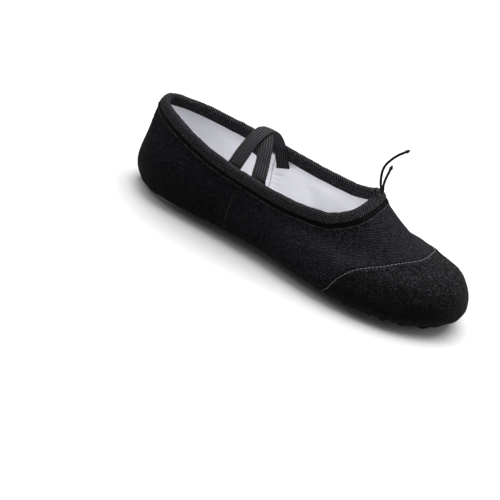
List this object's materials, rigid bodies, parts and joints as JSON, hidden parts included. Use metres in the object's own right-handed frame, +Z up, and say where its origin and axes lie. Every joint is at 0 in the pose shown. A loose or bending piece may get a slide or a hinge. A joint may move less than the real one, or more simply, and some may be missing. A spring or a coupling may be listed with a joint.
{
  "type": "ballet slipper",
  "caption": "Split-sole canvas ballet slipper with suede toe cap and sole patches, bound drawstring topline and crossed instep elastics.",
  "frame": {"origin": "middle of the footprint box on the surface the shoe stands on, at the bottom of the sole patches", "axes": "+X from heel to toe, +Z up out of the foot opening, +Y to the wearer's left"},
  "size_m": [0.2444, 0.0874, 0.0993],
  "materials": {
    "canvas": "matt plain-weave cotton canvas",
    "toe_suede": "mottled suede",
    "lining": "soft white cotton",
    "sole_suede": "brushed split suede, lightly scuffed",
    "binding_tape": "ribbed twill tape",
    "elastic": "lengthwise ribbed elastic",
    "cord": "round braided cord",
    "black_thread": "sewing thread",
    "seam_thread": "grey seam line where the toe cap is sewn on",
    "sole_thread": "sunk lockstitch",
    "foam": "thin felt padding"
  },
  "bodies": {
    "forefoot": {"toe_cap": "toe_suede", "vamp_canvas": "canvas", "vamp_lining": "lining", "toe_cap_seam_thread": "seam_thread", "forefoot_insole": "foam", "forefoot_sole": "sole_suede", "forefoot_sole_stitch_outer": "sole_thread", "forefoot_sole_stitch_inner": "sole_thread", "top_binding": "binding_tape", "binding_stitching": "black_thread", "drawstring": "cord", "arch_seam_stitching": "black_thread"},
    "heel": {"quarter_left": "canvas", "quarter_right": "canvas", "quarter_lining_left": "lining", "quarter_lining_right": "lining", "side_seam_stitching_left": "black_thread", "side_seam_stitching_right": "black_thread", "heel_seam_stitching": "black_thread", "heel_insole": "foam", "heel_sole": "sole_suede", "heel_sole_stitch_outer": "sole_thread", "heel_sole_stitch_inner": "sole_thread", "strap_a_end_near": "elastic", "strap_a_end_far": "elastic", "strap_b_end_near": "elastic", "strap_b_end_far": "elastic"},
    "straps": {"strap_a": "elastic", "strap_b": "elastic"},
    "string_ends": {"drawstring_tail_long": "cord", "drawstring_tail_short": "cord", "tail_knot_long": "cord", "tail_knot_short": "cord"}
  },
  "joints": [
    {"name": "arch_flex", "type": "hinge", "parent": "forefoot", "child": "heel", "pos_m": [0, 0, 0.013], "axis": [0, 1, 0], "range_deg": [0, 45], "stiffness_Nm_per_rad": 0.05, "deforming": ["vamp_canvas", "vamp_lining", "top_binding", "binding_stitching", "drawstring", "arch_seam_stitching"]},
    {"name": "strap_swing", "type": "hinge", "parent": "heel", "child": "straps", "pos_m": [-0.039, 0, 0.0505], "axis": [0, 1, 0], "range_deg": [-35, 35], "stiffness_Nm_per_rad": 0.01},
    {"name": "drawstring_pull", "type": "slide", "parent": "forefoot", "child": "string_ends", "axis": [0, 0, 1], "range_m": [0, 0.012], "deforming": ["drawstring_tail_long", "drawstring_tail_short"]}
  ]
}
